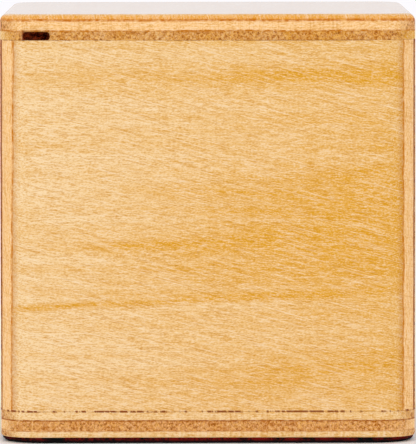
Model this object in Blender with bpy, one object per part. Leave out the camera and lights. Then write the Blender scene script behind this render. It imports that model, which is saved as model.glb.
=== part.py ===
"""Plywood puzzle box, 80 x 80 x 82.6 mm, opened by spinning it on a table.

Four steel pins lie in radial channels that cross from a frame glued inside the
box into a hub glued under the lid. Magnets in the hub pull the pins inward,
where they lock the lid. Spinning throws them outward, clear of the hub, and
the lid lifts off. The model is drawn with the pins thrown out and the lid on.
Lengths are in metres, +Z is up, the front faces -Y and the origin is the
middle of the base.
"""
import math

import bmesh
import bpy
from mathutils import Matrix

# Driving dimensions
WIDTH = 0.080                 # outside, along X and along Y
HEIGHT = 0.0826               # table to lid top
PLY = 0.005                   # thickness of the plywood panels
JOINT = 0.0003                # glue line or touching gap between pieces
CORNER_RADIUS = 0.0065        # roundover of the four upright corners
LID_EDGE_RADIUS = 0.0016      # roundover of the lid's upper edge
BASE_EDGE_RADIUS = 0.0004     # eased lower edge of the bottom plate
PAD_THICKNESS = 0.0008        # felt under the box
PAD_INSET = 0.0003            # felt edge, in from the box's side
PAD_EDGE_RADIUS = 0.0006      # soft lower edge of the felt

# Lift notch, cut in the lid's lowest ply at the front left
NOTCH_WIDTH = 0.0052
NOTCH_HEIGHT = 0.0019
NOTCH_DEPTH = 0.0050
NOTCH_FROM_SIDE = 0.0042      # from the left side to the notch

# Lock: frame in the box, hub under the lid
BOARD = 0.0027                # thickness of the frame's rings and the hub's boards
HUB_HALF = 0.0205             # half the width of the hub
HUB_CLEARANCE = 0.0005        # between the hub and the frame's opening
CHANNEL_WIDTH = 0.0050        # radial channels for the pins
CHANNEL_HEIGHT = 0.0053
PIN_RADIUS = 0.0020
PIN_LENGTH = 0.0120
PIN_END_CHAMFER = 0.0003
PIN_OUTER_END = 0.0342        # outer end of a pin that is thrown out
MAGNET_THICKNESS = 0.0030
MAGNET_INNER_FACE = 0.0120
ROUND_SIDES = 24

SAME_HEIGHT = 1e-6            # two points closer than this in Z are level

# Heights worked out from the above
BASE_BOTTOM = PAD_THICKNESS + JOINT
BASE_TOP = BASE_BOTTOM + PLY
WALL_BOTTOM = BASE_TOP + JOINT
LID_BOTTOM = HEIGHT - PLY
WALL_TOP = LID_BOTTOM - JOINT
UPPER_BOARD_BOTTOM = WALL_TOP - BOARD
LOWER_BOARD_TOP = UPPER_BOARD_BOTTOM - CHANNEL_HEIGHT
LOWER_BOARD_BOTTOM = LOWER_BOARD_TOP - BOARD
BLOCK_BOTTOM = LOWER_BOARD_TOP + JOINT
BLOCK_TOP = UPPER_BOARD_BOTTOM - JOINT
PIN_HEIGHT = BLOCK_BOTTOM + PIN_RADIUS
INSIDE_HALF = WIDTH / 2 - PLY
FRAME_OUTER_HALF = INSIDE_HALF - JOINT
FRAME_INNER_HALF = HUB_HALF + HUB_CLEARANCE

FINISHES = {                  # base colour (linear), metallic, roughness
    "varnished_face": ((0.85, 0.52, 0.23, 1), 0.0, 0.35),
    "varnished_edge": ((0.72, 0.38, 0.14, 1), 0.0, 0.40),
    "bare_plywood": ((0.76, 0.58, 0.36, 1), 0.0, 0.65),
    "steel": ((0.60, 0.61, 0.63, 1), 1.0, 0.28),
    "nickel": ((0.70, 0.70, 0.68, 1), 1.0, 0.20),
    "felt": ((0.012, 0.009, 0.008, 1), 0.0, 0.95),
}


def clear_scene():
    for old in list(bpy.data.objects):
        bpy.data.objects.remove(old, do_unlink=True)


def new_collection(name):
    collection = bpy.data.collections.new(name)
    bpy.context.scene.collection.children.link(collection)
    return collection


def make_material(node_name, finish):
    colour, metallic, roughness = FINISHES[finish]
    material = bpy.data.materials.new(node_name + "_" + finish)
    material.use_nodes = True
    shader = material.node_tree.nodes["Principled BSDF"]
    shader.inputs["Base Color"].default_value = colour
    shader.inputs["Metallic"].default_value = metallic
    shader.inputs["Roughness"].default_value = roughness
    return material


def add_object(name, mesh_builder, collection, finish):
    mesh = bpy.data.meshes.new(name)
    mesh_builder.normal_update()
    bmesh.ops.recalc_face_normals(mesh_builder, faces=mesh_builder.faces)
    mesh_builder.to_mesh(mesh)
    mesh_builder.free()
    if finish is not None:
        mesh.materials.append(make_material(name, finish))
    node = bpy.data.objects.new(name, mesh)
    collection.objects.link(node)
    return node


def box_builder(low, high):
    """A cube stretched to the box between two corners."""
    builder = bmesh.new()
    bmesh.ops.create_cube(builder, size=1.0)
    size = [b - a for a, b in zip(low, high)]
    middle = [(a + b) / 2 for a, b in zip(low, high)]
    bmesh.ops.scale(builder, vec=size, verts=builder.verts)
    bmesh.ops.translate(builder, vec=middle, verts=builder.verts)
    return builder


def round_upright_edges(builder, radius, segments=8):
    edges = [e for e in builder.edges if abs(e.verts[0].co.z - e.verts[1].co.z) > SAME_HEIGHT]
    bmesh.ops.bevel(builder, geom=edges, offset=radius, segments=segments,
                    profile=0.5, affect="EDGES")


def round_rim(builder, z, radius, segments=4):
    """Round the flat edge loop at height z."""
    edges = [e for e in builder.edges if all(abs(v.co.z - z) < SAME_HEIGHT for v in e.verts)]
    bmesh.ops.bevel(builder, geom=edges, offset=radius, segments=segments,
                    profile=0.5, affect="EDGES")


def rounded_plate(half, bottom, top, radius):
    builder = box_builder((-half, -half, bottom), (half, half, top))
    round_upright_edges(builder, radius)
    return builder


def cut(node, low, high, cutters):
    """Take the box between two corners out of a node."""
    cutter = add_object("cut_" + node.name, box_builder(low, high), cutters, None)
    cutter.hide_render = True
    cutter.display_type = "WIRE"
    boolean = node.modifiers.new("cut", "BOOLEAN")
    boolean.operation = "DIFFERENCE"
    boolean.solver = "EXACT"
    boolean.object = cutter


def make_base(parts):
    pad = rounded_plate(WIDTH / 2 - PAD_INSET, 0, PAD_THICKNESS, CORNER_RADIUS - PAD_INSET)
    round_rim(pad, 0, PAD_EDGE_RADIUS, segments=2)
    add_object("base_pad", pad, parts, "felt")
    plate = rounded_plate(WIDTH / 2, BASE_BOTTOM, BASE_TOP, CORNER_RADIUS)
    round_rim(plate, BASE_BOTTOM, BASE_EDGE_RADIUS, segments=2)
    add_object("bottom_plate", plate, parts, "varnished_face")


def make_front_and_back(parts, cutters):
    """Full-width panels, which take the whole roundover of the upright corners."""
    for name, side in (("front_panel", -1), ("back_panel", 1)):
        prism = rounded_plate(WIDTH / 2, WALL_BOTTOM, WALL_TOP, CORNER_RADIUS)
        panel = add_object(name, prism, parts, "varnished_face")
        inner = side * INSIDE_HALF
        far = -side * WIDTH
        cut(panel, (-WIDTH, min(inner, far), -WIDTH), (WIDTH, max(inner, far), 2 * WIDTH), cutters)


def make_sides(parts):
    """Narrower panels, glued between the front and the back."""
    for name, side in (("left_panel", -1), ("right_panel", 1)):
        low = (min(side * INSIDE_HALF, side * WIDTH / 2), -FRAME_OUTER_HALF, WALL_BOTTOM)
        high = (max(side * INSIDE_HALF, side * WIDTH / 2), FRAME_OUTER_HALF, WALL_TOP)
        add_object(name, box_builder(low, high), parts, "varnished_face")


def make_lid_plate(parts, cutters):
    plate = rounded_plate(WIDTH / 2, LID_BOTTOM, HEIGHT, CORNER_RADIUS)
    round_rim(plate, HEIGHT, LID_EDGE_RADIUS)
    lid = add_object("lid_plate", plate, parts, "varnished_edge")
    left = -WIDTH / 2 + NOTCH_FROM_SIDE
    low = (left, -WIDTH, LID_BOTTOM - NOTCH_HEIGHT)
    high = (left + NOTCH_WIDTH, -WIDTH / 2 + NOTCH_DEPTH, LID_BOTTOM + NOTCH_HEIGHT)
    cut(lid, low, high, cutters)


def make_frame_rings(parts, cutters):
    for name, bottom in (("frame_lower_ring", LOWER_BOARD_BOTTOM),
                         ("frame_upper_ring", UPPER_BOARD_BOTTOM)):
        outer = FRAME_OUTER_HALF
        inner = FRAME_INNER_HALF
        sheet = box_builder((-outer, -outer, bottom), (outer, outer, bottom + BOARD))
        ring = add_object(name, sheet, parts, "bare_plywood")
        cut(ring, (-inner, -inner, bottom - BOARD), (inner, inner, bottom + 2 * BOARD), cutters)


def make_frame_blocks(parts):
    """Two long and two short blocks on each half, with the pin channels between them."""
    gap = CHANNEL_WIDTH / 2
    for x_name, x_side in (("left", -1), ("right", 1)):
        for y_name, y_side in (("front", -1), ("back", 1)):
            corner = (x_side * FRAME_OUTER_HALF, y_side * FRAME_OUTER_HALF)
            long_end = (x_side * gap, y_side * FRAME_INNER_HALF)
            short_start = (x_side * FRAME_OUTER_HALF, y_side * (FRAME_INNER_HALF - JOINT))
            short_end = (x_side * FRAME_INNER_HALF, y_side * gap)
            place = y_name + "_" + x_name
            add_block("frame_long_block_" + place, corner, long_end, parts)
            add_block("frame_short_block_" + place, short_start, short_end, parts)


def make_hub(parts):
    for name, bottom in (("hub_lower_board", LOWER_BOARD_BOTTOM),
                         ("hub_upper_board", UPPER_BOARD_BOTTOM)):
        board = box_builder((-HUB_HALF, -HUB_HALF, bottom), (HUB_HALF, HUB_HALF, bottom + BOARD))
        add_object(name, board, parts, "bare_plywood")
    gap = CHANNEL_WIDTH / 2
    for x_name, x_side in (("left", -1), ("right", 1)):
        for y_name, y_side in (("front", -1), ("back", 1)):
            outer = (x_side * HUB_HALF, y_side * HUB_HALF)
            inner = (x_side * gap, y_side * gap)
            add_block("hub_block_" + y_name + "_" + x_name, outer, inner, parts)


def add_block(name, corner_a, corner_b, parts):
    low = (min(corner_a[0], corner_b[0]), min(corner_a[1], corner_b[1]), BLOCK_BOTTOM)
    high = (max(corner_a[0], corner_b[0]), max(corner_a[1], corner_b[1]), BLOCK_TOP)
    add_object(name, box_builder(low, high), parts, "bare_plywood")


def rod_builder(radius, length, chamfer):
    """A round rod along X with its middle at the origin and chamfered ends."""
    builder = bmesh.new()
    bmesh.ops.create_cone(builder, cap_ends=True, segments=ROUND_SIDES,
                          radius1=radius, radius2=radius, depth=length)
    rims = [e for e in builder.edges if abs(e.verts[0].co.z - e.verts[1].co.z) < SAME_HEIGHT]
    bmesh.ops.bevel(builder, geom=rims, offset=chamfer, segments=1, affect="EDGES")
    quarter_turn = Matrix.Rotation(math.pi / 2, 3, "Y")
    bmesh.ops.rotate(builder, cent=(0, 0, 0), matrix=quarter_turn, verts=builder.verts)
    return builder


def make_pins_and_magnets(parts):
    """One pin and one magnet in each channel; a pin's origin is its own middle."""
    for index, name in enumerate(("right", "back", "left", "front")):
        angle = index * math.pi / 2
        outward = (math.cos(angle), math.sin(angle))
        pin = add_object("lock_pin_" + name, rod_builder(PIN_RADIUS, PIN_LENGTH, PIN_END_CHAMFER),
                         parts, "steel")
        pin_middle = PIN_OUTER_END - PIN_LENGTH / 2
        pin.location = (outward[0] * pin_middle, outward[1] * pin_middle, PIN_HEIGHT)
        pin.rotation_euler = (0, 0, angle)
        disc = rod_builder(PIN_RADIUS, MAGNET_THICKNESS, PIN_END_CHAMFER)
        magnet = add_object("magnet_" + name, disc, parts, "nickel")
        magnet_middle = MAGNET_INNER_FACE + MAGNET_THICKNESS / 2
        magnet.location = (outward[0] * magnet_middle, outward[1] * magnet_middle, PIN_HEIGHT)
        magnet.rotation_euler = (0, 0, angle)


def main():
    clear_scene()
    parts = new_collection("puzzle_box")
    cutters = new_collection("cutters")
    make_base(parts)
    make_front_and_back(parts, cutters)
    make_sides(parts)
    make_frame_rings(parts, cutters)
    make_frame_blocks(parts)
    make_pins_and_magnets(parts)
    make_lid_plate(parts, cutters)
    make_hub(parts)


main()
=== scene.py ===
import math

import bpy
import numpy as np
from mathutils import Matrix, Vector


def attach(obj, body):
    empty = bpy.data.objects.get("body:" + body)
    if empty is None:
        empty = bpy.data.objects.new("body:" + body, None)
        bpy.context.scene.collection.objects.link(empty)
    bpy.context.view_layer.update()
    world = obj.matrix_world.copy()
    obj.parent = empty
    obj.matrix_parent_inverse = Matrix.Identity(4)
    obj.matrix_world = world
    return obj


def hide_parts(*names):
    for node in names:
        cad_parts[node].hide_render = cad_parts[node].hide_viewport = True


mm = 0.001
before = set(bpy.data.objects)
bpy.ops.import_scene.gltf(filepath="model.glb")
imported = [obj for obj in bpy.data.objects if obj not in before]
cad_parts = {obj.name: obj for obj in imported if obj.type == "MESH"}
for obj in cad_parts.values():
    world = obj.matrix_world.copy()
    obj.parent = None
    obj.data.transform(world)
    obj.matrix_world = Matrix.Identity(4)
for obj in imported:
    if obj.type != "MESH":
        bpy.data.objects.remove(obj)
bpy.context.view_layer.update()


# Colour and node helpers

def linear(hexColour):
    # sRGB to linear, channel by channel: c / 12.92 below 0.04045, else ((c + 0.055) / 1.055) ^ 2.4
    channels = np.array([int(hexColour[i:i + 2], 16) for i in (1, 3, 5)]) / 255
    curved = np.where(channels <= 0.04045, channels / 12.92, ((channels + 0.055) / 1.055) ** 2.4)
    return (*curved.tolist(), 1.0)


def addNode(tree, kind, sockets=(), **settings):
    # Adds one node. A socket given a node takes that node's first output, else it takes the value.
    made = tree.nodes.new("ShaderNode" + kind)
    for name, value in settings.items():
        setattr(made, name, value)
    for name, value in dict(sockets).items():
        if isinstance(value, bpy.types.Node):
            value = value.outputs[0]
        if isinstance(value, bpy.types.NodeSocket):
            tree.links.new(value, made.inputs[name])
        else:
            made.inputs[name].default_value = value
    return made


def newMaterial(name):
    material = bpy.data.materials.new(name)
    material.use_nodes = True
    tree = material.node_tree
    tree.nodes.clear()
    shader = addNode(tree, "BsdfPrincipled")
    output = addNode(tree, "OutputMaterial")
    tree.links.new(shader.outputs[0], output.inputs[0])
    return material, tree, shader


# Shape helpers

def waves(seed, along, across=0.0, longest=30.0, octaves=5):
    # Smooth random ripple: a sum of sines of halving wavelength, each turned and shifted at random,
    # scaled so that it stays within about -1 to 1.
    draw = np.random.default_rng(seed)
    total = np.zeros(np.broadcast(along, across).shape)
    for octave in range(octaves):
        wavelength = longest / 2 ** octave * draw.uniform(0.8, 1.25)
        turn = draw.uniform(0, math.tau)
        shift = draw.uniform(0, math.tau)
        travel = np.asarray(along) * math.cos(turn) + np.asarray(across) * math.sin(turn)
        total = total + np.sin(math.tau * travel / wavelength + shift) / (1 + octave)
    return total / 2


def cornerOutline(corners, cornerSteps, sideSteps):
    # Closed outline, counter-clockwise. Each corner (x, y, radius, from, to) is
    # centre + radius * (cos a, sin a), and a straight run joins it to the next corner.
    points, normals = [], []
    for index, (x, y, radius, start, end) in enumerate(corners):
        angle = np.radians(np.linspace(start, end, cornerSteps + 1))
        normal = np.stack([np.cos(angle), np.sin(angle)], axis=1)
        point = np.array([x, y]) + radius * normal
        nextX, nextY, nextRadius, nextStart, _ = corners[(index + 1) % len(corners)]
        turn = math.radians(nextStart)
        nextPoint = np.array([nextX, nextY]) + nextRadius * np.array([math.cos(turn), math.sin(turn)])
        share = np.linspace(0, 1, sideSteps + 1)[1:-1, None]
        points += [point, point[-1] + share * (nextPoint - point[-1])]
        normals += [normal, np.repeat(normal[-1:], sideSteps - 1, axis=0)]
    return np.concatenate(points), np.concatenate(normals)


def squareCorners(halfX, halfY, radius, centreX=0.0, centreY=0.0):
    # The four round corners of a rectangle, in the form that cornerOutline takes
    x, y = halfX - radius, halfY - radius
    signs = ((1, 1, 0), (-1, 1, 90), (-1, -1, 180), (1, -1, 270))
    return [(centreX + sx * x, centreY + sy * y, radius, a, a + 90) for sx, sy, a in signs]


def edgeProfile(low, high, lowRadius, highRadius, steps=5, rows=0):
    # Side of a slab from bottom to top as (inset, height): a quarter circle, a straight wall cut
    # into rows, and a quarter circle. A close row beside each keeps the flat faces flat.
    turn = np.linspace(0, math.pi / 2, steps + 1)
    support = 0.04
    lower = np.stack([lowRadius * (1 - np.sin(turn)), low + lowRadius * (1 - np.cos(turn))], axis=1)
    upper = np.stack([highRadius * (1 - np.cos(turn)), high - highRadius * (1 - np.sin(turn))], axis=1)
    wallLow, wallHigh = low + lowRadius + support, high - highRadius - support
    heights = np.linspace(wallLow, wallHigh, rows + 2)
    wall = np.stack([np.zeros(rows + 2), heights], axis=1)
    start = np.array([[lowRadius + support, low]])
    end = np.array([[highRadius + support, high]])
    return np.concatenate([start, lower, wall, upper, end])


def gridPiece(name, grid, closedRows=False):
    # Mesh over a grid of points, in mm, whose columns run round the piece. Rows either close on
    # themselves or end in one flat face each.
    rows, columns = grid.shape[:2]
    row = np.arange(rows if closedRows else rows - 1)[:, None]
    column = np.arange(columns)[None]
    nextRow, nextColumn = (row + 1) % rows, (column + 1) % columns
    quads = np.stack([row * columns + column, row * columns + nextColumn,
                      nextRow * columns + nextColumn, nextRow * columns + column], axis=2)
    faces = quads.reshape(-1, 4).tolist()
    if not closedRows:
        faces.append(list(range(columns))[::-1])
        faces.append(list(range((rows - 1) * columns, rows * columns)))
    mesh = bpy.data.meshes.new(name)
    mesh.from_pydata((grid.reshape(-1, 3) * mm).tolist(), [], faces)
    mesh.shade_smooth()
    piece = bpy.data.objects.new(name, mesh)
    bpy.context.scene.collection.objects.link(piece)
    return piece


def slabGrid(corners, profile, cornerSteps=16, sideSteps=40):
    # point(row, column) = outline(column) - inset(row) * normal(column), at height(row)
    points, normals = cornerOutline(corners, cornerSteps, sideSteps)
    flat = points[None] - profile[:, 0, None, None] * normals[None]
    height = np.broadcast_to(profile[:, 1, None, None], (*flat.shape[:2], 1))
    return np.concatenate([flat, height], axis=2)


def cutWith(piece, cutter):
    # Takes the cutter out of the piece for good
    boolean = piece.modifiers.new("cut", "BOOLEAN")
    boolean.operation = "DIFFERENCE"
    boolean.solver = "EXACT"
    boolean.object = cutter
    bpy.context.view_layer.update()
    cut = bpy.data.meshes.new_from_object(piece.evaluated_get(bpy.context.evaluated_depsgraph_get()))
    piece.modifiers.clear()
    piece.data = cut
    bpy.data.objects.remove(cutter, do_unlink=True)


def settle(piece, body, node, material):
    # The piece takes the place of its CAD node
    piece.data.materials.clear()
    piece.data.materials.append(material)
    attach(piece, body)
    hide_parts(node)
    return piece


# Materials

birch = {
    "pale": "#fad9a0", "amber": "#e9ab2b", "dash": "#d08c14", "pore": "#b87c2c", "light": "#ffebcb",
    "core": "#ffce8a", "end": "#be6e10", "endPore": "#7c4208", "endLight": "#fbc268",
    "glue": "#b96c0c", "edge": "#f8a51a",
}

# Pattern scales are in cells per millimetre, and a scale of three is along the fibres, across
# them and into the board. A mark is the noise level where it starts, the level where it is full,
# and how strongly it shows there, or for cut grain how strongly at each of the two levels. The
# solid part of a line is the share of its half width that has its full colour.
noiseSpan = {1: 0.3, 2: 0.7}  # levels that a soft noise seldom leaves
plies = {"ripple": 0.16, "waver": 0.5, "blend": 0.04, "leanFoot": 5.0, "leanHead": 75.0}
fibres = {
    "wander": (0.035, 0.09, 0.09), "reach": (0.0, 2.0, 1.5), "roughness": 0.62,
    "scales": {"dots": (2.2, 4.5, 4.5), "fine": (0.42, 4.6, 4.6), "medium": (0.16, 1.6, 1.6),
               "streaks": (0.022, 0.55, 0.5), "broad": (0.014, 0.16, 0.10)},
    "sanding": (0.08, 4.6, 0.0), "sandingTurn": 16.0,
    "pore": (0.43, 0.22, 0.2), "dash": (0.49, 0.66, 0.9), "scratch": (0.47, 0.28, 0.6),
    "pale": (0.51, 0.35, 0.62), "mark": (0.52, 0.70, 0.52),
}
figuring = {"broadFrom": 0.34, "broadTo": 0.70, "driftHalf": 38.0, "bandWaver": (0.05, 0.05, 0.12),
            "streakTone": 0.22}
soakedEdge = {"from": 0.95, "full": 0.75}
cutGrain = {"from": 0.45, "full": 0.95, "vessels": 1.5, "stain": 0.30, "rings": 0.75,
            "ringWander": (2.0, 2.0, 2.0), "soak": (0.38, 0.55, 0.22, 1.0),
            "blotch": (0.3, 0.7, 0.65, 1.0), "pits": (0.53, 0.66, 0.0, 0.9), "rim": (0.43, 0.5, 0.0, 0.6)}
glueLook = {"grain": 0.9, "roughness": 0.65, "stainReach": 0.9, "from": 0.36, "full": 0.60,
            "solid": 0.6, "thin": (0.16, 0.2, 1.0), "thinner": (0.16, 0.1, 0.7)}
# The seam colour is painted shade of the gap in each joint
seamShadeLook = {"dashes": (0.9, 0.9, 0.0), "groups": (0.08, 0.08, 0.0), "groupShare": 0.9,
            "from": 0.92, "full": 0.98, "solid": 0.6, "flat": 0.9, "upright": 0.6, "stain": "#8a3c04"}
scorch = {"from": 0.42, "full": 0.62, "char": "#3c0a08", "ember": "#f0743a", "halo": "#8a4a1c",
          "haloReach": 0.35, "charReach": 0.06, "fray": 0.5}
varnish = {"specular": 0.02, "coatRoughness": 0.14, "smoother": 0.05, "rougher": 0.08,
           "thinAt": 0.6, "thickAt": 0.95, "relief": 0.22, "depth": 0.04}


def plyLayers(tree, board):
    # Where a point lies in the board, in mm: along and across the outer ply's fibres and down
    # from its face, and whether it is in the outer ply or in the core, whose fibres run across.
    # depth = face + waver * ripple - distance outward. A board's plies are the depths of its
    # two glue lines.
    along, across, outward = (Vector(board[key]) for key in ("grain", "cross", "outward"))
    place = addNode(tree, "VectorMath", {0: addNode(tree, "TexCoord").outputs["Object"], 3: 1 / mm},
                    operation="SCALE")
    parts = addNode(tree, "SeparateXYZ", {0: place})
    spans = [addNode(tree, "VectorMath", {0: place, 1: way}, operation="DOT_PRODUCT").outputs["Value"]
             for way in (along, across, outward)]
    ripple = addNode(tree, "TexNoise", {"Vector": place, "Scale": plies["ripple"], "Detail": 3.0})
    ripple = addNode(tree, "Math", {0: ripple, 1: 0.5}, operation="SUBTRACT")
    waver = board.get("plyWaver", plies["waver"])
    face = addNode(tree, "Math", {0: ripple, 1: waver, 2: board["face"]}, operation="MULTIPLY_ADD")
    depth = addNode(tree, "Math", {0: face, 1: spans[2]}, operation="SUBTRACT")
    if "plyLean" in board:
        # The outer ply has been sanded thinner toward one upright corner: the lean is the X
        # where it is full, the X where it ends, and what it takes off at the foot and the head
        leanFrom, leanTo, leanLow, leanHigh = board["plyLean"]
        thin = addNode(tree, "MapRange", {0: parts.outputs[0], 1: leanFrom, 2: leanTo, 3: 1.0, 4: 0.0})
        rise = addNode(tree, "MapRange", {0: parts.outputs[2], 1: plies["leanFoot"],
                                          2: plies["leanHead"], 3: leanLow, 4: leanHigh})
        depth = addNode(tree, "Math", {0: thin, 1: rise, 2: depth}, operation="MULTIPLY_ADD")
    blend = plies["blend"]
    pastFirst, pastSecond = (addNode(tree, "MapRange", {0: depth, 1: level - blend, 2: level + blend})
                             for level in board["plies"])
    inCore = addNode(tree, "Math", {0: pastFirst, 1: pastSecond}, operation="SUBTRACT")
    onFace = addNode(tree, "Math", {0: 1.0, 1: pastFirst}, operation="SUBTRACT")
    faceSpace = addNode(tree, "CombineXYZ", {0: spans[0], 1: spans[1], 2: depth})
    coreSpace = addNode(tree, "CombineXYZ", {0: spans[1], 1: spans[0], 2: depth})
    space = addNode(tree, "Mix", {"Factor": inCore, 4: faceSpace, 5: coreSpace}, data_type="VECTOR")
    fibre = addNode(tree, "Mix", {"Factor": inCore, 4: along, 5: across}, data_type="VECTOR")
    normal = addNode(tree, "NewGeometry").outputs["Normal"]
    return {"place": place, "parts": parts, "ripple": ripple, "depth": depth, "inCore": inCore,
            "onFace": onFace, "faceSpace": faceSpace, "space": space.outputs[1],
            "fibre": fibre.outputs[1], "normal": normal, "outward": outward,
            "rise": addNode(tree, "SeparateXYZ", {0: normal}).outputs[2]}


def fibreNoises(tree, board, layers):
    # Stretched noises that every mark is read from. The fibres wander a little first.
    seeded = addNode(tree, "VectorMath", {0: layers["space"], 1: board.get("seed", (0, 0, 0))},
                     operation="ADD")
    wander = addNode(tree, "TexNoise", {"Vector": addNode(tree, "Mapping", {
        "Vector": seeded, "Scale": fibres["wander"]}), "Scale": 1.0, "Detail": 2.0})
    shift = addNode(tree, "VectorMath", {0: wander.outputs["Color"], 1: (0.5, 0.5, 0.5)},
                    operation="SUBTRACT")
    bent = addNode(tree, "VectorMath", {0: shift, 1: fibres["reach"], 2: seeded},
                   operation="MULTIPLY_ADD")
    # Sanding marks run down to the right at a low angle
    turned = addNode(tree, "Mapping", {"Vector": layers["faceSpace"], "Rotation": (
        0.0, 0.0, math.radians(fibres["sandingTurn"]))})
    spaces = {key: (bent, scale) for key, scale in fibres["scales"].items()}
    spaces["sand"] = (turned, fibres["sanding"])
    noises = {key: addNode(tree, "TexNoise", {
        "Vector": addNode(tree, "Mapping", {"Vector": space, "Scale": scale}),
        "Scale": 1.0, "Detail": 3.0, "Roughness": fibres["roughness"]})
        for key, (space, scale) in spaces.items()}
    both = addNode(tree, "Math", {0: noises["dots"], 1: noises["fine"]}, operation="ADD")
    noises["dashes"] = addNode(tree, "Math", {0: both, 1: 0.5}, operation="MULTIPLY")
    noises["shift"] = shift
    noises["vessels"] = addNode(tree, "TexNoise", {
        "Vector": layers["place"], "Scale": cutGrain["vessels"], "Detail": 4.0, "Roughness": 0.75})
    return noises


def bandShare(tree, band, layers):
    # One long wavering band of figure, soft at its edges, that fades in along the board
    waver = addNode(tree, "TexNoise", {"Vector": addNode(tree, "Mapping", {
        "Vector": layers["place"], "Location": (band["height"], 0.0, 0.0),
        "Scale": figuring["bandWaver"]}), "Scale": 1.0, "Detail": 3.0, "Roughness": 0.5})
    line = addNode(tree, "VectorMath", {0: layers["place"], 1: (-band["slope"], 0.0, 1.0)},
                   operation="DOT_PRODUCT")
    wavy = addNode(tree, "Math", {0: waver, 1: band["waver"], 2: line.outputs["Value"]},
                   operation="MULTIPLY_ADD")
    away = addNode(tree, "Math", {0: wavy, 1: band["height"] + band["waver"] / 2},
                   operation="SUBTRACT")
    reach = addNode(tree, "Math", {0: addNode(tree, "Math", {0: away}, operation="ABSOLUTE"),
                                   1: band["width"]}, operation="DIVIDE")
    share = addNode(tree, "MapRange", {0: reach, 1: 1.0, 2: 0.0, 3: 0.0, 4: 1.0},
                    interpolation_type="SMOOTHSTEP")
    ends = addNode(tree, "MapRange", {0: layers["parts"], 1: band["from"], 2: band["to"], 3: 0.0,
                                      4: band["strength"]}, interpolation_type="SMOOTHSTEP")
    return addNode(tree, "Math", {0: share, 1: ends}, operation="MULTIPLY")


def figureColour(tree, board, wood, layers, noises):
    # Pale wood turns amber by slow noise, a drift across the board, bands and thin streaks
    low, high = board["figure"]
    figure = addNode(tree, "MapRange", {0: noises["broad"], 1: figuring["broadFrom"],
                                        2: figuring["broadTo"], 3: low, 4: high})
    if "drift" in board:
        half = figuring["driftHalf"]
        sway = addNode(tree, "MapRange", {0: layers["parts"], 1: -half, 2: half,
                                          3: board["drift"][0], 4: board["drift"][1]})
        figure = addNode(tree, "Math", {0: figure, 1: sway}, operation="ADD")
    for band in board.get("bands", ()):
        figure = addNode(tree, "Math", {0: bandShare(tree, band, layers), 1: figure}, operation="ADD")
    tone = figuring["streakTone"]
    streaky = addNode(tree, "MapRange", {0: noises["streaks"], **noiseSpan, 3: -tone, 4: tone})
    figure = addNode(tree, "Math", {0: figure, 1: streaky}, operation="ADD")
    outer = addNode(tree, "Mix", {"Factor": figure, 6: linear(wood["pale"]),
                                  7: linear(wood["amber"])}, data_type="RGBA", clamp_factor=True)
    return addNode(tree, "Mix", {"Factor": layers["inCore"], 6: outer.outputs[2],
                                 7: linear(wood["core"])}, data_type="RGBA").outputs[2]


def soakEdge(tree, board, wood, layers, colour):
    # Varnish soaks into the cut edge of the outer ply and turns it amber
    level = addNode(tree, "VectorMath", {0: layers["normal"], 1: layers["outward"]},
                    operation="DOT_PRODUCT")
    share = addNode(tree, "MapRange", {0: level.outputs["Value"], 1: soakedEdge["from"],
                                       2: soakedEdge["full"], 3: 0.0, 4: board["edgeAmber"]})
    share = addNode(tree, "Math", {0: share, 1: layers["onFace"]}, operation="MULTIPLY")
    return addNode(tree, "Mix", {"Factor": share, 6: colour, 7: linear(wood["edge"])},
                   data_type="RGBA").outputs[2]


def fibreMarks(tree, wood, layers, noises, colour):
    # Brown pores, amber dashes, amber scratches, pale dashes and pale sanding marks, in the
    # order in which they lie on each other
    for mark, source, tint in (("pore", "medium", "pore"), ("dash", "dashes", "dash"),
                               ("scratch", "sand", "dash"), ("pale", "dashes", "light"),
                               ("mark", "sand", "light")):
        start, full, strength = fibres[mark]
        share = addNode(tree, "MapRange", {0: noises[source], 1: start, 2: full, 3: 0.0, 4: strength})
        if mark == "mark":
            share = addNode(tree, "Math", {0: share, 1: layers["onFace"]}, operation="MULTIPLY")
        colour = addNode(tree, "Mix", {"Factor": share, 6: colour, 7: linear(wood[tint])},
                         data_type="RGBA").outputs[2]
    return colour


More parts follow.
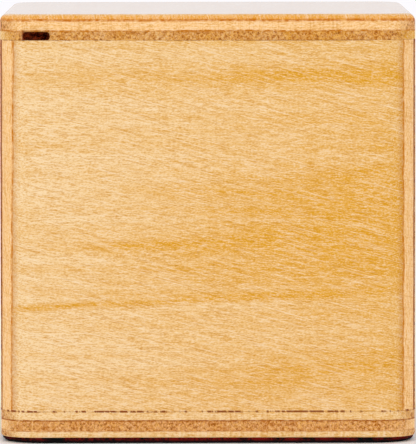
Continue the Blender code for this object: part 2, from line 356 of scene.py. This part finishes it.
def endGrain(tree, board, wood, layers, noises, colour):
    # How squarely the surface cuts the fibres of the ply it is in, blotched by short vessels,
    # stained by varnish and crossed by the pale golden rims of the growth rings
    facing = addNode(tree, "VectorMath", {0: layers["normal"], 1: layers["fibre"]},
                     operation="DOT_PRODUCT")
    facing = addNode(tree, "Math", {0: facing.outputs["Value"]}, operation="ABSOLUTE")
    cut = addNode(tree, "MapRange", {0: facing, 1: cutGrain["from"], 2: cutGrain["full"]})
    amount = addNode(tree, "MapRange", {0: layers["onFace"], 1: 0.0, 2: 1.0, 3: 1.0,
                                        4: board.get("faceEnd", 1.0)})
    cut = addNode(tree, "Math", {0: cut, 1: amount}, operation="MULTIPLY")
    stain = addNode(tree, "TexNoise", {"Vector": layers["place"], "Scale": cutGrain["stain"],
                                       "Detail": 3.0})
    bent = addNode(tree, "VectorMath", {0: noises["shift"], 1: cutGrain["ringWander"],
                                        2: layers["place"]}, operation="MULTIPLY_ADD")
    rings = addNode(tree, "TexVoronoi", {"Vector": bent, "Scale": cutGrain["rings"]})
    rings = addNode(tree, "Math", {0: rings, 1: 0.5}, operation="PINGPONG")
    shares = []
    for key, noise in (("soak", noises["vessels"]), ("blotch", stain), ("pits", noises["vessels"]),
                       ("rim", rings)):
        start, full, least, most = cutGrain[key]
        shares.append(addNode(tree, "MapRange", {0: noise, 1: start, 2: full, 3: least, 4: most}))
    soak, blotch, pits, rim = shares
    soak = addNode(tree, "Math", {0: soak, 1: blotch}, operation="MULTIPLY")
    for share, tint in ((soak, "end"), (pits, "endPore"), (rim, "endLight")):
        share = addNode(tree, "Math", {0: share, 1: cut}, operation="MULTIPLY")
        colour = addNode(tree, "Mix", {"Factor": share, 6: colour, 7: linear(wood[tint])},
                         data_type="RGBA").outputs[2]
    return colour


def glueLines(tree, board, wood, layers, colour):
    # Broken and uneven lines of resin between the plies. The first one stains the outer ply.
    noise = addNode(tree, "TexNoise", {"Vector": layers["place"], "Scale": glueLook["grain"],
                                       "Detail": 4.0, "Roughness": glueLook["roughness"]})
    first = board["plies"][0]
    stained = addNode(tree, "MapRange", {0: layers["depth"], 1: first - glueLook["stainReach"],
                                         2: first, 3: 0.0, 4: board.get("glueStain", 0.0)})
    for factor in (layers["onFace"], noise):
        stained = addNode(tree, "Math", {0: stained, 1: factor}, operation="MULTIPLY")
    colour = addNode(tree, "Mix", {"Factor": stained, 6: colour, 7: linear(wood["end"])},
                     data_type="RGBA").outputs[2]
    plain = tuple((*glueLook[key], wood["glue"]) for key in ("thin", "thinner"))
    lines = board.get("glueLines", plain)
    for level, (halfWidth, low, high, tint) in zip(board["plies"], lines):
        away = addNode(tree, "Math", {0: layers["depth"], 1: level}, operation="SUBTRACT")
        away = addNode(tree, "Math", {0: away}, operation="ABSOLUTE")
        near = addNode(tree, "MapRange", {0: away, 1: halfWidth, 2: halfWidth * glueLook["solid"]})
        amount = addNode(tree, "MapRange", {0: noise, 1: glueLook["from"], 2: glueLook["full"],
                                            3: low, 4: high})
        share = addNode(tree, "Math", {0: near, 1: amount}, operation="MULTIPLY")
        colour = addNode(tree, "Mix", {"Factor": share, 6: colour, 7: linear(tint)},
                         data_type="RGBA").outputs[2]
    return colour


def paintedSeamShade(tree, board, layers, colour):
    # Brown dashes, in groups, along each joint: painted shade of the uneven gap between the
    # parts. They show on the upright faces only.
    tilt = addNode(tree, "Math", {0: layers["rise"]}, operation="ABSOLUTE")
    upright = addNode(tree, "MapRange", {0: tilt, 1: seamShadeLook["flat"], 2: seamShadeLook["upright"]})
    for height, reach, strength in board["seams"]:
        short = addNode(tree, "TexNoise", {"Vector": addNode(tree, "Mapping", {
            "Vector": layers["place"], "Location": (height, 0.0, 0.0),
            "Scale": seamShadeLook["dashes"]}), "Scale": 1.0, "Detail": 3.0, "Roughness": 0.6})
        group = addNode(tree, "TexNoise", {"Vector": addNode(tree, "Mapping", {
            "Vector": layers["place"], "Location": (0.0, height, 0.0),
            "Scale": seamShadeLook["groups"]}), "Scale": 1.0, "Detail": 2.0})
        level = addNode(tree, "Math", {0: group, 1: seamShadeLook["groupShare"], 2: short},
                        operation="MULTIPLY_ADD")
        share = addNode(tree, "MapRange", {0: level, 1: seamShadeLook["from"], 2: seamShadeLook["full"],
                                           3: 0.0, 4: strength})
        away = addNode(tree, "Math", {0: layers["parts"].outputs[2], 1: height},
                       operation="SUBTRACT")
        away = addNode(tree, "Math", {0: away}, operation="ABSOLUTE")
        near = addNode(tree, "MapRange", {0: away, 1: reach, 2: reach * seamShadeLook["solid"]})
        for factor in (near, upright):
            share = addNode(tree, "Math", {0: share, 1: factor}, operation="MULTIPLY")
        colour = addNode(tree, "Mix", {"Factor": share, 6: colour, 7: linear(seamShadeLook["stain"])},
                         data_type="RGBA").outputs[2]
    return colour


def scorching(tree, low, high, layers, noises, colour):
    # Charred inside the box from low to high, with a brown halo where the burn runs out into
    # the wood
    ashy = addNode(tree, "MapRange", {0: noises["vessels"], 1: scorch["from"], 2: scorch["full"]})
    burnt = addNode(tree, "Mix", {"Factor": ashy, 6: linear(scorch["char"]),
                                  7: linear(scorch["ember"])}, data_type="RGBA")
    frayed = [addNode(tree, "Math", {0: layers["ripple"], 1: scorch["fray"],
                                     2: layers["parts"].outputs[axis]}, operation="MULTIPLY_ADD")
              for axis in range(3)]
    for spread, tint in ((scorch["haloReach"], linear(scorch["halo"])),
                         (scorch["charReach"], burnt.outputs[2])):
        inside = 1.0
        for axis in range(3):
            above = addNode(tree, "MapRange", {0: frayed[axis], 1: low[axis] - spread, 2: low[axis]})
            below = addNode(tree, "MapRange", {0: frayed[axis], 1: high[axis] + spread, 2: high[axis]})
            for limit in (above, below):
                inside = addNode(tree, "Math", {0: inside, 1: limit}, operation="MULTIPLY")
        colour = addNode(tree, "Mix", {"Factor": inside, 6: colour, 7: tint},
                         data_type="RGBA").outputs[2]
    return colour


def plywoodMaterial(name, board, roughness=0.48, coat=0.15, wood=birch):
    # Three-ply birch under a brushed clear varnish: long fibres show as fine amber and pale
    # dashes, cut fibres go brown and blotchy, and resin glue lines run between the plies
    material, tree, shader = newMaterial(name)
    layers = plyLayers(tree, board)
    noises = fibreNoises(tree, board, layers)
    colour = figureColour(tree, board, wood, layers, noises)
    if "edgeAmber" in board:
        colour = soakEdge(tree, board, wood, layers, colour)
    colour = fibreMarks(tree, wood, layers, noises, colour)
    colour = endGrain(tree, board, wood, layers, noises, colour)
    colour = glueLines(tree, board, wood, layers, colour)
    # Painted shade along the joints
    if "seams" in board:
        colour = paintedSeamShade(tree, board, layers, colour)
    for low, high in board.get("charred", ()):
        colour = scorching(tree, low, high, layers, noises, colour)
    tree.links.new(colour, shader.inputs["Base Color"])
    satin = addNode(tree, "MapRange", {0: noises["medium"], **noiseSpan,
                                       3: roughness - varnish["smoother"],
                                       4: roughness + varnish["rougher"]})
    tree.links.new(satin.outputs[0], shader.inputs["Roughness"])
    shader.inputs["Coat Weight"].default_value = coat
    if "topCoat" in board:
        # Varnish lies thick on the level face and thin on the sanded edges
        film = addNode(tree, "MapRange", {0: layers["rise"], 1: varnish["thinAt"],
                                          2: varnish["thickAt"], 3: coat, 4: board["topCoat"]})
        tree.links.new(film.outputs[0], shader.inputs["Coat Weight"])
    shader.inputs["Specular IOR Level"].default_value = varnish["specular"]
    shader.inputs["Coat Roughness"].default_value = board.get("coatRoughness", varnish["coatRoughness"])
    relief = addNode(tree, "Math", {0: noises["fine"], 1: noises["sand"]}, operation="ADD")
    bump = addNode(tree, "Bump", {"Height": relief, "Strength": varnish["relief"],
                                  "Distance": varnish["depth"] * mm})
    tree.links.new(bump.outputs[0], shader.inputs["Normal"])
    return material


# Scales of the felt, steel and nickel patterns are in cells per metre; heights are in millimetres
# The felt's black is painted contact shadow. Its red along the top is painted shade of the base's underside
# roundover.
shadowFeltLook = {"hairs": 2600.0, "patches": 260.0, "shadeSpeckleFrom": 0.20, "shadeSpeckleFull": 0.34, "black": "#050203",
            "paintedShade": "#74100a", "paintedShadeLow": 0.3, "paintedShadeHigh": 0.8, "roughness": 0.95, "specular": 0.15,
            "relief": 0.6, "depth": 0.1}


def shadowFeltMaterial(name):
    # Pressed wool felt pad, rough and slightly hairy. Its near-black colour is painted contact shadow under
    # the box, and its red-brown cast is painted shade.
    material, tree, shader = newMaterial(name)
    place = addNode(tree, "TexCoord").outputs["Object"]
    hairs = addNode(tree, "TexNoise", {"Vector": place, "Scale": shadowFeltLook["hairs"], "Detail": 4.0,
                                       "Roughness": 0.7})
    patch = addNode(tree, "TexNoise", {"Vector": place, "Scale": shadowFeltLook["patches"], "Detail": 3.0})
    share = addNode(tree, "Math", {0: hairs, 1: patch}, operation="MULTIPLY")
    tone = addNode(tree, "MapRange", {0: share, 1: shadowFeltLook["shadeSpeckleFrom"], 2: shadowFeltLook["shadeSpeckleFull"]})
    # Painted shade: red-brown speckles along the upper edge stand for the shaded underside of the base's
    # roundover
    height = addNode(tree, "SeparateXYZ", {0: place}).outputs[2]
    rise = addNode(tree, "MapRange", {0: height, 1: shadowFeltLook["paintedShadeLow"] * mm, 2: shadowFeltLook["paintedShadeHigh"] * mm})
    tone = addNode(tree, "Math", {0: tone, 1: rise}, operation="MULTIPLY")
    colour = addNode(tree, "Mix", {"Factor": tone, 6: linear(shadowFeltLook["black"]),
                                   7: linear(shadowFeltLook["paintedShade"])}, data_type="RGBA")
    tree.links.new(colour.outputs[2], shader.inputs["Base Color"])
    shader.inputs["Roughness"].default_value = shadowFeltLook["roughness"]
    shader.inputs["Specular IOR Level"].default_value = shadowFeltLook["specular"]
    bump = addNode(tree, "Bump", {"Height": hairs, "Strength": shadowFeltLook["relief"],
                                  "Distance": shadowFeltLook["depth"] * mm})
    tree.links.new(bump.outputs[0], shader.inputs["Normal"])
    return material


steelLook = {"alongRings": 9000.0, "roundRings": 400.0, "haze": 300.0, "dark": "#b9babd",
             "bright": "#d6d7d8", "smooth": 0.20, "hazy": 0.38, "relief": 0.2, "depth": 0.02}


def steelMaterial(name, outward):
    # Ground dowel steel: fine rings round the pin, a little oil haze
    material, tree, shader = newMaterial(name)
    place = addNode(tree, "TexCoord").outputs["Object"]
    stretch = [steelLook["alongRings"] if part else steelLook["roundRings"] for part in outward]
    rings = addNode(tree, "TexNoise", {"Vector": addNode(tree, "Mapping", {
        "Vector": place, "Scale": stretch}), "Scale": 1.0, "Detail": 2.0})
    haze = addNode(tree, "TexNoise", {"Vector": place, "Scale": steelLook["haze"], "Detail": 3.0})
    colour = addNode(tree, "Mix", {"Factor": rings, 6: linear(steelLook["dark"]),
                                   7: linear(steelLook["bright"])}, data_type="RGBA")
    tree.links.new(colour.outputs[2], shader.inputs["Base Color"])
    shader.inputs["Metallic"].default_value = 1.0
    rough = addNode(tree, "MapRange", {0: haze, **noiseSpan, 3: steelLook["smooth"],
                                       4: steelLook["hazy"]})
    tree.links.new(rough.outputs[0], shader.inputs["Roughness"])
    bump = addNode(tree, "Bump", {"Height": rings, "Strength": steelLook["relief"],
                                  "Distance": steelLook["depth"] * mm})
    tree.links.new(bump.outputs[0], shader.inputs["Normal"])
    return material


nickelLook = {"smudges": 900.0, "dark": "#c9c6be", "bright": "#e2dfd6", "smooth": 0.10, "smudged": 0.26}


def nickelMaterial(name):
    # Bright nickel plate with faint smudges
    material, tree, shader = newMaterial(name)
    place = addNode(tree, "TexCoord").outputs["Object"]
    smudge = addNode(tree, "TexNoise", {"Vector": place, "Scale": nickelLook["smudges"], "Detail": 3.0})
    colour = addNode(tree, "Mix", {"Factor": smudge, 6: linear(nickelLook["dark"]),
                                   7: linear(nickelLook["bright"])}, data_type="RGBA")
    tree.links.new(colour.outputs[2], shader.inputs["Base Color"])
    shader.inputs["Metallic"].default_value = 1.0
    rough = addNode(tree, "MapRange", {0: smudge, **noiseSpan, 3: nickelLook["smooth"],
                                       4: nickelLook["smudged"]})
    tree.links.new(rough.outputs[0], shader.inputs["Roughness"])
    return material


# Outer box

box = {"half": 40.0, "wall": 5.0, "cornerRadius": 6.5, "baseLow": 1.1, "baseHigh": 6.1,
       "lidLow": 77.6, "lidHigh": 82.6}
xAxis, yAxis, zAxis = (1, 0, 0), (0, 1, 0), (0, 0, 1)
minusX, minusY, minusZ = (-1, 0, 0), (0, -1, 0), (0, 0, -1)

base = {
    "lowEdge": 0.32, "highEdge": 0.06,
    "board": {"grain": xAxis, "cross": yAxis, "outward": minusZ, "face": -box["baseLow"],
              "plies": (1.25, 3.3), "seed": (31, 7, 3), "plyWaver": 0.3, "figure": (0.05, 0.35),
              "drift": (0.0, 0.15), "seams": ((box["baseHigh"], 0.16, 1.0),),
              "glueLines": ((0.16, 0.1, 0.6, "#b5671f"), (0.18, 0.4, 1.0, "#a05208"))},
}


def makeBottomPlate():
    corners = squareCorners(box["half"], box["half"], box["cornerRadius"])
    profile = edgeProfile(box["baseLow"], box["baseHigh"], base["lowEdge"], base["highEdge"])
    plate = gridPiece("bottom_plate_wood", slabGrid(corners, profile, 20, 120))
    settle(plate, "box", "bottom_plate",
           plywoodMaterial("varnished_birch_base", base["board"]))


# The felt pad's near-black colour is painted contact shadow under the box
felt = {"inset": 0.15, "low": 0.0, "high": 1.09, "lowEdge": 0.85, "highEdge": 0.1, "ragged": 0.06,
        "raggedLength": 40.0, "seed": 5, "cornerRadius": 8.5}


def makeShadowFelt():
    half = box["half"] - felt["inset"]
    corners = squareCorners(half, half, felt["cornerRadius"])
    profile = edgeProfile(felt["low"], felt["high"], felt["lowEdge"], felt["highEdge"])
    grid = slabGrid(corners, profile, 20, 240)
    # Cut by hand: the edge wavers inward, column by column round the outline
    uneven = waves(felt["seed"], np.arange(grid.shape[1]), longest=felt["raggedLength"]) - 1
    grid[..., :2] *= (1 + felt["ragged"] / half * uneven)[None, :, None]
    settle(gridPiece("felt_pad_painted_shadow", grid), "box", "base_pad", shadowFeltMaterial("felt_painted_shadow"))


# A seam is its height, how far its painted shade reaches up and down, and its strength. A glue
# line is its half width, its strength where it is thin and where it is thick, and its colour.
panel = {"low": box["baseHigh"] + 0.01, "high": box["lidLow"] - 0.015, "lowEdge": 0.07,
         "highEdge": 0.04, "rows": 34, "hollow": 0.05, "eased": 0.08, "jointGap": 0.02,
         "seamGap": 0.02, "seamReach": 1.5, "dipLength": 4.5, "dipShare": 1.8,
         "stretchLength": 45.0, "stretchShare": 1.2}
# Bands of figure on the front, by height at the middle, slope, half width, how far they waver,
# and the stretch in X over which they fade in to full strength
bandKeys = ("height", "slope", "width", "waver", "from", "to", "strength")
frontBands = [dict(zip(bandKeys, band)) for band in (
    (70.6, 0.012, 3.6, 2.5, -90.0, 10.0, 0.44),
    (38.9, 0.031, 1.5, 1.8, -45.0, 25.0, 0.55),
    (27.8, 0.050, 1.4, 1.2, 90.0, -60.0, 0.85),
    (35.0, 0.031, 9.5, 5.0, -60.0, 0.0, 0.42),
    (47.0, 0.000, 12.0, 6.0, -22.0, 10.0, 0.34),
    (11.0, 0.130, 5.0, 4.0, -30.0, 15.0, 0.28))]
wallBoard = {"cross": zAxis, "face": box["half"], "plies": (1.5, 4.65), "figure": (0.05, 0.75),
             "seams": ((box["baseHigh"] + 0.05, 0.24, 1.0), (panel["high"] - 0.005, 0.12, 0.5))}
wallGlue = ((0.17, 0.25, 1.0, "#cc7c14"), (0.48, 0.85, 1.0, "#a04c02"))
walls = {
    "front_panel": {"grain": xAxis, "outward": minusY, "plyLean": (-40.0, -30.0, -0.3, 0.35),
                    "bands": frontBands, "figure": (0.0, 0.20), "drift": (0.04, 0.62),
                    "glueLines": wallGlue, "glueStain": 0.6},
    "back_panel": {"grain": xAxis, "outward": yAxis, "seed": (211, 43, 9), "glueLines": wallGlue,
                   "glueStain": 0.8},
    "left_panel": {"grain": yAxis, "outward": minusX, "seed": (87, 121, 5)},
    "right_panel": {"grain": yAxis, "outward": xAxis, "seed": (140, 17, 2)},
}


def wallCorners(fullWidth):
    # Plan of one wall, drawn as the front one, with the corner roundover cut off at the joint
    half, inner, radius = box["half"], box["half"] - box["wall"], box["cornerRadius"]
    tiny = panel["eased"]
    if not fullWidth:
        return squareCorners(inner - panel["jointGap"], box["wall"] / 2, tiny, 0.0, -(half + inner) / 2)
    middle = half - radius
    stop = math.degrees(math.asin((inner - middle) / radius))
    reach = middle + radius * math.cos(math.radians(stop)) - tiny
    return [(reach, -inner - tiny, tiny, -stop, 90), (-reach, -inner - tiny, tiny, 90, 180 + stop),
            (-middle, -middle, radius, 180 + stop, 270), (middle, -middle, radius, 270, 360 - stop)]


def makeWall(name, quarterTurns, fullWidth, seed):
    profile = edgeProfile(panel["low"], panel["high"], panel["lowEdge"], panel["highEdge"],
                          steps=4, rows=panel["rows"])
    grid = slabGrid(wallCorners(fullWidth), profile, cornerSteps=18, sideSteps=300)
    along = grid[..., 0]
    height = grid[..., 2].copy()
    # Hand-sanded face: it dips by up to the hollow, never past the plane of the CAD wall
    onFace = np.clip((-grid[..., 1] - box["half"] + box["wall"]) / box["wall"], 0, 1)
    grid[..., 1] += onFace * panel["hollow"] * (np.clip(waves(seed, along, height), -1, 1) + 1) / 2
    # The lower edge doesn't quite meet the base: short dips, more of them in some stretches
    nearBase = np.clip(1 - (height - panel["low"]) / panel["seamReach"], 0, 1)
    dips = waves(seed + 1, along[0], grid[0, :, 1], longest=panel["dipLength"], octaves=3)
    stretches = waves(seed + 2, along[0], grid[0, :, 1], longest=panel["stretchLength"], octaves=2)
    gap = np.clip(panel["dipShare"] * dips + panel["stretchShare"] * stretches, 0, 1)
    grid[..., 2] += nearBase * panel["seamGap"] * gap[None]
    for _ in range(quarterTurns):
        x, y = grid[..., 0].copy(), grid[..., 1].copy()
        grid[..., 0], grid[..., 1] = -y, x
    settle(gridPiece(name + "_wood", grid), "box", name,
           plywoodMaterial("varnished_birch_" + name, {**wallBoard, **walls[name]}))


lid = {
    "lowEdge": 0.07, "highEdge": 1.6, "notchFrom": -35.45, "notchTo": -30.2, "notchTop": 79.25,
    "notchDepth": 5.0, "notchRound": 0.75, "cutterPast": 3.0, "cutterDrop": 0.04,
    "board": {"grain": yAxis, "cross": xAxis, "outward": zAxis, "face": box["lidHigh"],
              "plies": (1.15, 3.2), "seed": (12, 55, 8), "plyWaver": 0.3, "faceEnd": 0.06,
              "edgeAmber": 0.75, "figure": (0.15, 0.7), "drift": (0.1, 0.35), "topCoat": 1.0,
              "coatRoughness": 0.06, "seams": ((box["lidLow"], 0.12, 0.5),),
              "glueLines": ((0.30, 0.15, 1.0, "#c87008"), (0.22, 0.0, 1.0, "#c47410"))},
    "charFront": 0.25, "charPast": 0.1, "charBelow": 1.6,
}


def makeLid():
    corners = squareCorners(box["half"], box["half"], box["cornerRadius"])
    profile = edgeProfile(box["lidLow"], box["lidHigh"], lid["lowEdge"], lid["highEdge"], steps=10)
    piece = gridPiece("lid_wood", slabGrid(corners, profile, cornerSteps=20, sideSteps=120))
    # The notch is a flat-bottomed groove with round upper corners: an outline in X and Z, along Y
    left, right, top = lid["notchFrom"], lid["notchTo"], lid["notchTop"]
    tall = (top - box["lidLow"]) / 2 + lid["cutterDrop"]
    outline = squareCorners((right - left) / 2, tall, lid["notchRound"], (left + right) / 2, top - tall)
    points, _ = cornerOutline(outline, cornerSteps=6, sideSteps=6)
    front, back = -box["half"] - lid["cutterPast"], -box["half"] + lid["notchDepth"]
    ends = [np.stack([points[:, 0], np.full(len(points), y), points[:, 1]], axis=1) for y in (back, front)]
    cutWith(piece, gridPiece("notch_cutter", np.stack(ends)))
    piece.data.shade_smooth()
    charLow = (left, -box["half"] + lid["charFront"], box["lidLow"] - lid["charBelow"])
    charHigh = (right, back + lid["charPast"], top)
    board = {**lid["board"], "charred": ((charLow, charHigh),)}
    settle(piece, "lid", "lid_plate", plywoodMaterial("varnished_birch_lid", board))


# Lock: frame in the box, hub under the lid, pins and magnets

lock = {
    "lowBottom": 66.6, "lowTop": 69.58, "highBottom": 74.6, "highTop": 77.3, "outer": 34.95,
    "opening": 21.0, "hub": 20.5, "channel": 2.5, "edge": 0.15, "gap": 0.02, "blockGap": 0.05,
    "bare": {"pale": "#ecd0a4", "amber": "#d3a266", "dash": "#bd8a50", "pore": "#a97f50",
             "light": "#f3ddb8", "core": "#e0c193", "end": "#a97e4f", "endPore": "#7d5a34",
             "endLight": "#e8cc9c", "glue": "#8f6234"},
}


def bareBoard(name, top, thickness, seed):
    board = {"grain": xAxis, "cross": yAxis, "outward": zAxis, "face": top, "seed": seed,
             "figure": (0.0, 0.5), "plies": (thickness / 3, thickness * 2 / 3), "plyWaver": 0.2}
    return plywoodMaterial("bare_birch_" + name, board, roughness=0.62, coat=0.0, wood=lock["bare"])


def makeSlab(name, body, low, high, material):
    # A plain board between two corners with eased edges
    edge = lock["edge"]
    corners = squareCorners((high[0] - low[0]) / 2, (high[1] - low[1]) / 2, edge,
                            (low[0] + high[0]) / 2, (low[1] + high[1]) / 2)
    grid = slabGrid(corners, edgeProfile(low[2], high[2], edge, edge, steps=3), 4, 12)
    settle(gridPiece(name + "_wood", grid), body, name, material)


def makeRing(name, bottom, top, seed):
    # Outer and inner sides share one column count, so rows can cross from one to the other
    edge = lock["edge"]
    outer, outerNormals = cornerOutline(squareCorners(lock["outer"], lock["outer"], edge), 4, 40)
    inner, innerNormals = cornerOutline(squareCorners(lock["opening"], lock["opening"], edge), 4, 40)
    profile = edgeProfile(bottom, top, edge, edge, steps=3)
    rows = [np.column_stack([outer - inset * outerNormals, np.full(len(outer), z)]) for inset, z in profile]
    rows += [np.column_stack([inner + inset * innerNormals, np.full(len(inner), z)])
             for inset, z in profile[::-1]]
    settle(gridPiece(name + "_wood", np.stack(rows), closedRows=True), "box", name,
           bareBoard(name, top, top - bottom, seed))


def makeLockWood():
    makeRing("frame_lower_ring", lock["lowBottom"], lock["lowTop"], (3, 9, 1))
    makeRing("frame_upper_ring", lock["highBottom"], lock["highTop"], (63, 29, 1))
    low, high = lock["lowTop"] + lock["gap"], lock["highBottom"] - lock["gap"]
    channel, opening, outer, hub = lock["channel"], lock["opening"], lock["outer"], lock["hub"]
    seed = 0
    for yName, ySign in (("front", -1), ("back", 1)):
        for xName, xSign in (("left", -1), ("right", 1)):
            place = yName + "_" + xName
            spans = {
                "frame_long_block_": ("box", (channel, outer), (opening, outer)),
                "frame_short_block_": ("box", (opening, outer), (channel, opening - lock["blockGap"])),
                "hub_block_": ("lid", (channel, hub), (channel, hub)),
            }
            for kind, (body, xSpan, ySpan) in spans.items():
                xs = sorted(xSign * x for x in xSpan)
                ys = sorted(ySign * y for y in ySpan)
                seed += 17
                material = bareBoard(kind + place, high, high - low, (seed, seed * 3, 0))
                makeSlab(kind + place, body, (xs[0], ys[0], low), (xs[1], ys[1], high), material)
    for name, bottom, top in (("hub_lower_board", lock["lowBottom"], lock["lowTop"]),
                              ("hub_upper_board", lock["highBottom"], box["lidLow"] - lock["gap"])):
        makeSlab(name, "lid", (-hub, -hub, bottom), (hub, hub, top),
                 bareBoard(name, top, top - bottom, (9, 77, 4)))


pin = {"radius": 2.0, "length": 12.0, "chamfer": 0.35, "dome": 0.12, "outerEnd": 34.2, "height": 71.6}
magnet = {**pin, "length": 3.0, "chamfer": 0.25, "dome": 0.0, "outerEnd": 15.0}


def turnedGrid(rod, outward):
    # Rod of radius r(t) at reach x(t): centre line + outward * x + r * (cos a * side + sin a * up),
    # with chamfered rims and a slight dome on each end
    half, radius, chamfer, dome = rod["length"] / 2, rod["radius"], rod["chamfer"], rod["dome"]
    crown = np.linspace(0.15, 1, 5)  # rows across an end, as shares of its radius
    endRadius = radius - chamfer
    faceX = half - dome * crown ** 2
    barrel = half - dome - chamfer
    support = 0.05  # a close row inside each chamfer keeps the barrel straight
    xs = np.concatenate([-faceX, [-barrel, support - barrel, barrel - support, barrel], faceX[::-1]])
    rs = np.concatenate([crown * endRadius, [radius] * 4, crown[::-1] * endRadius])
    angle = np.linspace(0, math.tau, 48, endpoint=False)
    side = np.cross(outward, zAxis)
    reach = rod["outerEnd"] - half + xs
    spoke = np.cos(angle)[:, None] * side + np.sin(angle)[:, None] * np.array(zAxis, float)
    grid = reach[:, None, None] * np.array(outward, float) + rs[:, None, None] * spoke[None]
    grid[..., 2] += rod["height"]
    return grid[:, ::-1]


def makePinsAndMagnets():
    nickel = nickelMaterial("nickel_plate_magnets")
    for name, outward in (("right", xAxis), ("back", yAxis), ("left", minusX), ("front", minusY)):
        settle(gridPiece("pin_" + name, turnedGrid(pin, outward)), "pin_" + name, "lock_pin_" + name,
               steelMaterial("ground_steel_" + name, outward))
        settle(gridPiece("magnet_disc_" + name, turnedGrid(magnet, outward)), "lid", "magnet_" + name,
               nickel)


# Studio

studio = {
    "worldStrength": 0.855, "backdropStrength": 1.0, "world": "#fdfbff", "floor": "#fbfaf8",
    "floorShade": "#faf9f7", "floorPatches": 3.0, "floorRoughness": 0.8, "floorHalf": 1500.0,
    "floorThick": 20.0,
}


def makeStudio():
    world = bpy.data.worlds.new("white_studio")
    bpy.context.scene.world = world
    world.use_nodes = True
    # The tent lights the box a little less than it shows behind it
    seen = addNode(world.node_tree, "LightPath").outputs["Is Camera Ray"]
    strength = addNode(world.node_tree, "MapRange", {0: seen, 3: studio["worldStrength"],
                                                     4: studio["backdropStrength"]})
    background = world.node_tree.nodes["Background"]
    background.inputs[0].default_value = linear(studio["world"])
    world.node_tree.links.new(strength.outputs[0], background.inputs[1])
    bpy.context.scene.view_settings.view_transform = "Standard"
    half = studio["floorHalf"]
    profile = np.array([[0.0, -studio["floorThick"]], [0.0, 0.0]])
    floor = gridPiece("studio_floor", slabGrid(squareCorners(half, half, 1.0), profile, 2, 2))
    floor.data.shade_flat()
    material, tree, shader = newMaterial("pale_floor")
    tint = addNode(tree, "TexNoise", {"Vector": addNode(tree, "TexCoord").outputs["Object"],
                                      "Scale": studio["floorPatches"]})
    colour = addNode(tree, "Mix", {"Factor": tint, 6: linear(studio["floor"]),
                                   7: linear(studio["floorShade"])}, data_type="RGBA")
    tree.links.new(colour.outputs[2], shader.inputs["Base Color"])
    shader.inputs["Roughness"].default_value = studio["floorRoughness"]
    floor.data.materials.append(material)


lightAim = (0.0, 0.0, 40.0)
lights = (
    {"name": "key_left", "place": (-1050, -1200, 350), "size": (260, 900), "power": 3.2},
    {"name": "fill_right", "place": (900, -1100, 350), "size": (600, 900), "power": 1.5},
    {"name": "top_fill", "place": (0, 100, 1100), "size": (900, 900), "power": 1.0},
)


def makeLights():
    for spec in lights:
        data = bpy.data.lights.new(spec["name"], "AREA")
        data.shape = "RECTANGLE"
        data.size, data.size_y = (side * mm for side in spec["size"])
        data.energy = spec["power"]
        light = bpy.data.objects.new(spec["name"], data)
        light.location = Vector(spec["place"]) * mm
        toAim = Vector(lightAim) - Vector(spec["place"])
        light.rotation_euler = toAim.to_track_quat("-Z", "Y").to_euler()
        bpy.context.scene.collection.objects.link(light)


view = {"place": (-0.8, -1140.0, 118.2), "tilt": 3.926, "turn": -0.050, "roll": 0.09, "lens": 465.8,
        "nearest": 50.0, "farthest": 50000.0}


def makeCamera():
    # A long lens looks slightly down on the front; the three angles are in degrees
    camera = bpy.data.objects.new("camera", bpy.data.cameras.new("camera"))
    camera.data.lens = view["lens"]
    camera.data.clip_start = view["nearest"] * mm
    camera.data.clip_end = view["farthest"] * mm
    camera.location = Vector(view["place"]) * mm
    tilt, turn, roll = (math.radians(view[key]) for key in ("tilt", "turn", "roll"))
    camera.rotation_euler = (math.pi / 2 - tilt, roll, turn)
    bpy.context.scene.collection.objects.link(camera)
    bpy.context.scene.camera = camera


makeStudio()
makeLights()
makeCamera()
print("studio ready")
makeShadowFelt()
makeBottomPlate()
for name, turns, fullWidth, seed in (("front_panel", 0, True, 11), ("right_panel", 1, False, 23),
                                     ("back_panel", 2, True, 37), ("left_panel", 3, False, 53)):
    makeWall(name, turns, fullWidth, seed)
makeLid()
print("outer box ready")
makeLockWood()
makePinsAndMagnets()
print("lock ready")
